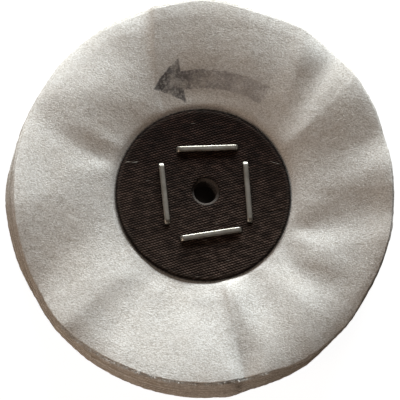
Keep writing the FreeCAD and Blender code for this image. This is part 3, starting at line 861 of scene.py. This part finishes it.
def ribbed_board():
    """Dark brown cloth-faced board: close slanting ribs with a cross yarn, lint, scuffs and pressed creases, with
    painted light and shade by side and painted shade in the creases, the wire holes and the rolled edge.
    """
    m, nt, bsdf = nodes_of("ribbed_board")
    L = nt.links.new
    co = object_co(nt)
    warp = noise(nt, co, 130, 2.0)
    sep = nt.nodes.new("ShaderNodeSeparateXYZ")
    L(mapped(nt, co, -18.4), sep.inputs[0])
    u, v = sep.outputs[0], sep.outputs[1]
    bend = calc(nt, "MULTIPLY", calc(nt, "SUBTRACT", warp.outputs[0], 0.5), 0.0007)
    vv, uu = calc(nt, "ADD", v, bend), calc(nt, "ADD", u, bend)
    rib = between(nt, calc(nt, "SINE", calc(nt, "MULTIPLY", vv, 2 * math.pi / 0.00061)), -0.95, 0.95)
    cross = between(nt, calc(nt, "SINE", calc(nt, "ADD", calc(nt, "MULTIPLY", uu, 2 * math.pi / 0.00078),
                                              calc(nt, "MULTIPLY", vv, math.pi / 0.00061))), -1, 1)
    weave = calc(nt, "ADD", calc(nt, "MULTIPLY", rib, 0.42), calc(nt, "MULTIPLY", calc(nt, "MULTIPLY", cross, rib), 0.58))
    dust = noise(nt, co, 1100, 3.0, 0.65)
    cloud = noise(nt, co, 130, 3.0, 0.6)
    dark = mix(nt, "MIX", weave, (0.0038, 0.0022, 0.0017), (0.070, 0.0480, 0.0385))
    dark = mix(nt, "MULTIPLY", 1.0, dark, ramp(nt, cloud.outputs[0], [(0.30, (0.72, 0.70, 0.68)), (0.68, (1.28, 1.25, 1.24))]).outputs[0])
    slub = noise(nt, mapped(nt, co, -18.4, (420, 1100, 700)), 1.0, 2.0, 0.6)
    dark = mix(nt, "MULTIPLY", 1.0, dark, ramp(nt, slub.outputs[0], [(0.32, (0.45, 0.42, 0.40)), (0.50, (0.95, 0.94, 0.93)), (0.68, (1.75, 1.75, 1.75))]).outputs[0])
    dark = mix(nt, "MIX", between(nt, dust.outputs[0], 0.56, 0.80, 0.0, 0.30), dark, (0.120, 0.098, 0.082))
    xyz = nt.nodes.new("ShaderNodeSeparateXYZ")
    L(co, xyz.inputs[0])
    x, y, z = xyz.outputs
    # painted light and shade by side: the +Y half darker and redder, the -Y half lighter and greyer; and painted shade,
    # nearly black, in the holes where the wire's legs go in
    painted_lit_side = between(nt, calc(nt, "ADD", y, calc(nt, "MULTIPLY", calc(nt, "SUBTRACT", cloud.outputs[0], 0.5), 0.010)), -0.018, 0.020, 1.0, 0.0)
    side_light_and_shade = ramp(nt, painted_lit_side, [(0.0, (0.62, 0.50, 0.50)), (0.5, (1.0, 0.98, 0.98)), (1.0, (1.38, 1.42, 1.45))])
    dark = mix(nt, "MULTIPLY", 1.0, dark, side_light_and_shade.outputs[0])
    # painted shade: nearly black in the holes where the wire's legs go in
    hole_shade = None
    for sx, sy, a in STAPLES.values():
        cc, ss = math.cos(math.radians(a)), math.sin(math.radians(a))
        for sign in (-1, 1):
            u0, u1 = sign * 7.75 * MM, sign * 8.45 * MM
            one = stroke(nt, x, y, (sx * MM + cc * u0, sy * MM + ss * u0), (sx * MM + cc * u1, sy * MM + ss * u1), 0.00045, 0.00040)
            hole_shade = one if hole_shade is None else calc(nt, "MAXIMUM", hole_shade, one)
    dark = mix(nt, "MIX", calc(nt, "MULTIPLY", hole_shade, 0.92), dark, (0.0022, 0.0016, 0.0014))
    # lint and two loose threads
    lint = nt.nodes.new("ShaderNodeTexVoronoi")
    lint.inputs["Scale"].default_value = 1.0
    L(mapped(nt, co, 38, (300, 1500, 1)), lint.inputs["Vector"])
    few = calc(nt, "GREATER_THAN", noise(nt, lint.outputs["Position"], 3.1, 0).outputs[0], 0.70)
    thread = calc(nt, "MULTIPLY", between(nt, lint.outputs["Distance"], 0.10, 0.22, 1.0, 0.0), few)
    dark = mix(nt, "MIX", calc(nt, "MULTIPLY", thread, 0.30), dark, (0.34, 0.31, 0.27))
    wx = calc(nt, "ADD", y, calc(nt, "MULTIPLY", calc(nt, "SUBTRACT", noise(nt, co, 420, 1.0).outputs[0], 0.5), 0.0011))
    pale = calc(nt, "MAXIMUM", stroke(nt, x, wx, (-0.0208, 0.0071), (-0.0172, 0.0075), 0.00003, 0.00010),
                stroke(nt, x, wx, (0.0164, 0.0086), (0.0194, 0.0078), 0.00003, 0.00010))
    dark = mix(nt, "MIX", calc(nt, "MULTIPLY", pale, 0.65), dark, (0.40, 0.37, 0.33))
    # creases pressed into the facing, with painted shade darkening them
    crease = calc(nt, "MAXIMUM", stroke(nt, x, wx, (0.0155, -0.0052), (0.0206, -0.0044), 0.00005, 0.00022),
                  stroke(nt, x, wx, (-0.0202, -0.0100), (-0.0176, -0.0106), 0.00005, 0.00022))
    dark = mix(nt, "MIX", calc(nt, "MULTIPLY", crease, 0.6), dark, (0.006, 0.004, 0.0035))
    # painted shade on the rolled edge: its flank and its lip are drawn nearly black, next to a faintly lighter worn
    # ring just inside
    geo = nt.nodes.new("ShaderNodeNewGeometry")
    ns = nt.nodes.new("ShaderNodeSeparateXYZ")
    L(geo.outputs["Normal"], ns.inputs[0])
    flank = between(nt, calc(nt, "ABSOLUTE", ns.outputs[2]), 0.85, 0.3, 0.0, 1.0)
    near = between(nt, z, -0.001, 0.001, 0.0, 1.0)
    ex = calc(nt, "SUBTRACT", x, calc(nt, "MULTIPLY", near, FRONT_C[0] * MM))
    ey = calc(nt, "SUBTRACT", y, calc(nt, "MULTIPLY", near, FRONT_C[1] * MM))
    away = calc(nt, "SQRT", calc(nt, "ADD", calc(nt, "MULTIPLY", ex, ex), calc(nt, "MULTIPLY", ey, ey)))
    away = calc(nt, "ADD", away, calc(nt, "MULTIPLY", calc(nt, "SUBTRACT", dust.outputs[0], 0.5), 0.0006))
    lip = between(nt, away, (DISC_R - 0.55) * MM, (DISC_R - 0.12) * MM)
    worn = calc(nt, "MULTIPLY", between(nt, away, (DISC_R - 1.25) * MM, (DISC_R - 0.75) * MM), between(nt, away, (DISC_R - 0.75) * MM, (DISC_R - 0.35) * MM, 1.0, 0.0))
    dark = mix(nt, "MIX", calc(nt, "MULTIPLY", worn, 0.16), dark, (0.13, 0.11, 0.095))
    dark = mix(nt, "MIX", calc(nt, "MULTIPLY", calc(nt, "MAXIMUM", flank, lip), 0.9), dark, (0.006, 0.0042, 0.0036))
    L(dark, bsdf.inputs["Base Color"])
    L(between(nt, dust.outputs[0], 0.35, 0.75, 0.74, 0.94), bsdf.inputs["Roughness"])
    bsdf.inputs["Specular IOR Level"].default_value = 0.08
    bump = nt.nodes.new("ShaderNodeBump")
    bump.inputs["Strength"].default_value = 0.85
    bump.inputs["Distance"].default_value = 0.00012
    h = calc(nt, "SUBTRACT", calc(nt, "ADD", weave, calc(nt, "MULTIPLY", dust.outputs[0], 0.5)), crease)
    L(h, bump.inputs["Height"])
    L(bump.outputs[0], bsdf.inputs["Normal"])
    return m


def staple_steel():
    """Drawn flat wire with fine scratches and a dull oxide film."""
    m, nt, bsdf = nodes_of("staple_steel")
    L = nt.links.new
    co = object_co(nt)
    film = noise(nt, co, 420, 3.0, 0.6)
    fine_n = noise(nt, co, 5200, 2.0, 0.6)
    col = ramp(nt, film.outputs[0], [(0.30, (0.35, 0.325, 0.285)), (0.55, (0.47, 0.448, 0.405)), (0.75, (0.57, 0.55, 0.51))])
    L(col.outputs[0], bsdf.inputs["Base Color"])
    bsdf.inputs["Metallic"].default_value = 1.0
    rough = between(nt, fine_n.outputs[0], 0.30, 0.70, 0.38, 0.50)
    L(rough, bsdf.inputs["Roughness"])
    bump = nt.nodes.new("ShaderNodeBump")
    bump.inputs["Strength"].default_value = 0.05
    bump.inputs["Distance"].default_value = 0.00001
    L(fine_n.outputs[0], bump.inputs["Height"])
    L(bump.outputs[0], bsdf.inputs["Normal"])
    return m


board, steel = ribbed_board(), staple_steel()
for ob in discs:
    ob.data.materials.append(board)
for ob in wires:
    ob.data.materials.append(steel)


# ------------------------------------------------------------------- surroundings
def floor():
    size, n = 5.2, 8
    z = RIM_BACK * MM - 0.00002
    verts = [((i / n - 0.5) * size, (j / n - 0.5) * size, z) for j in range(n + 1) for i in range(n + 1)]
    faces = [(j * (n + 1) + i, j * (n + 1) + i + 1, (j + 1) * (n + 1) + i + 1, (j + 1) * (n + 1) + i)
             for j in range(n) for i in range(n)]
    ob = make_object("floor", verts, faces)
    m, nt, bsdf = nodes_of("pale_floor")
    grain = noise(nt, object_co(nt), 60, 2.0)
    col = ramp(nt, grain.outputs[0], [(0.3, (0.30, 0.30, 0.30)), (0.7, (0.32, 0.32, 0.32))])
    nt.links.new(col.outputs[0], bsdf.inputs["Base Color"])
    bsdf.inputs["Roughness"].default_value = 1.0
    bsdf.inputs["Specular IOR Level"].default_value = 0.0
    # painted shadow beneath the wheel: the floor's glow is taken out there, so the table under the wheel and seen
    # through the bore is dark
    sep = nt.nodes.new("ShaderNodeSeparateXYZ")
    nt.links.new(object_co(nt), sep.inputs[0])
    rad = calc(nt, "SQRT", calc(nt, "ADD", calc(nt, "MULTIPLY", sep.outputs[0], sep.outputs[0]),
                                calc(nt, "MULTIPLY", sep.outputs[1], sep.outputs[1])))
    bsdf.inputs["Emission Color"].default_value = (1, 1, 1, 1)
    nt.links.new(between(nt, rad, 0.020, 0.040, 0.0, 0.95), bsdf.inputs["Emission Strength"])
    ob.data.materials.append(m)
    ob.visible_diffuse = False
    ob.visible_glossy = False
    return ob



def surround():
    """A pale dome over the floor, which closes the picture above the table's edge."""
    radius, z0, up, around_n = 2.5, RIM_BACK * MM, 12, 48
    verts, faces = [], []
    for j in range(up):
        e = 0.5 * math.pi * j / up
        for i in range(around_n):
            a = 2 * math.pi * i / around_n
            verts.append((radius * math.cos(e) * math.cos(a), radius * math.cos(e) * math.sin(a), z0 + radius * math.sin(e)))
    for j in range(up - 1):
        for i in range(around_n):
            p, q = j * around_n + i, j * around_n + (i + 1) % around_n
            faces.append((p, p + around_n, q + around_n, q))
    verts.append((0, 0, z0 + radius))
    last = (up - 1) * around_n
    faces += [(last + i, len(verts) - 1, last + (i + 1) % around_n) for i in range(around_n)]
    ob = make_object("surround", verts, faces)
    m, nt, bsdf = nodes_of("pale_surround")
    grain = noise(nt, object_co(nt), 2.0, 2.0)
    col = ramp(nt, grain.outputs[0], [(0.3, (0.30, 0.30, 0.30)), (0.7, (0.32, 0.32, 0.32))])
    nt.links.new(col.outputs[0], bsdf.inputs["Base Color"])
    bsdf.inputs["Roughness"].default_value = 1.0
    bsdf.inputs["Specular IOR Level"].default_value = 0.0
    bsdf.inputs["Emission Color"].default_value = (1, 1, 1, 1)
    bsdf.inputs["Emission Strength"].default_value = 0.95
    ob.data.materials.append(m)
    ob.visible_diffuse = False
    ob.visible_glossy = False
    ob.visible_shadow = False
    return ob


floor()
surround()

world = bpy.data.worlds.new("studio")
SC.world = world
world.use_nodes = True
wn = world.node_tree
bg = wn.nodes["Background"]
bg.inputs[0].default_value = (1.0, 0.74, 0.55, 1)
bg.inputs[1].default_value = 0.036


def lamp(name, azimuth, elevation, distance, size, power, colour=(1, 1, 1)):
    """A rectangular soft light that looks at the origin; size is (across, up)."""
    data = bpy.data.lights.new(name, "AREA")
    data.shape = "RECTANGLE"
    data.size, data.size_y = size
    data.energy = power
    data.color = colour
    ob = bpy.data.objects.new(name, data)
    SC.collection.objects.link(ob)
    a, e = math.radians(azimuth), math.radians(elevation)
    d = Vector((math.cos(e) * math.cos(a), math.cos(e) * math.sin(a), math.sin(e)))
    ob.location = d * distance
    ob.rotation_euler = d.to_track_quat("Z", "Y").to_euler()
    return ob


# a low window from the top of the picture, a warm low fill from the viewer's side that reaches the rim,
# a weak bounce that reaches into the bore, and a small card above, which is what the wire reflects
lamp("window", 86.0, 12.5, 1.1, (0.95, 0.30), 26.6, (0.960, 1.0, 0.995))
lamp("fill", 243.0, 12.0, 1.0, (0.5, 0.25), 2.0, (1.0, 0.80, 0.64))
lamp("bounce", 203.0, 38.0, 1.0, (0.4, 0.3), 1.35, (1.0, 0.80, 0.66))
lamp("card", 66.0, 74.0, 1.0, (0.34, 0.30), 0.18, (1.0, 0.97, 0.92))

# ------------------------------------------------------------------------ camera
TILT, HEADING, DIST, PX = math.radians(14.5), math.radians(246.0), 0.450, 3.89
aim = Vector((-1.0587 * MM, -1.4093 * MM, 0))
d = Vector((math.sin(TILT) * math.cos(HEADING), math.sin(TILT) * math.sin(HEADING), math.cos(TILT)))
up = Vector((0, 1, 0)) - d * d.y
up.normalize()
right = up.cross(d)
cam_data = bpy.data.cameras.new("camera")
cam = bpy.data.objects.new("camera", cam_data)
SC.collection.objects.link(cam)
rot = Matrix((right, up, d)).transposed()
cam.matrix_world = Matrix.Translation(aim + d * DIST) @ rot.to_4x4()
cam_data.sensor_width = 36.0
cam_data.lens = PX * (DIST / MM) * 36.0 / 400.0
cam_data.clip_start = 0.01
cam_data.clip_end = 20
SC.camera = cam

SC.view_settings.view_transform = "Standard"
SC.view_settings.look = "None"
SC.view_settings.exposure = 0.0
SC.view_settings.gamma = 1.0
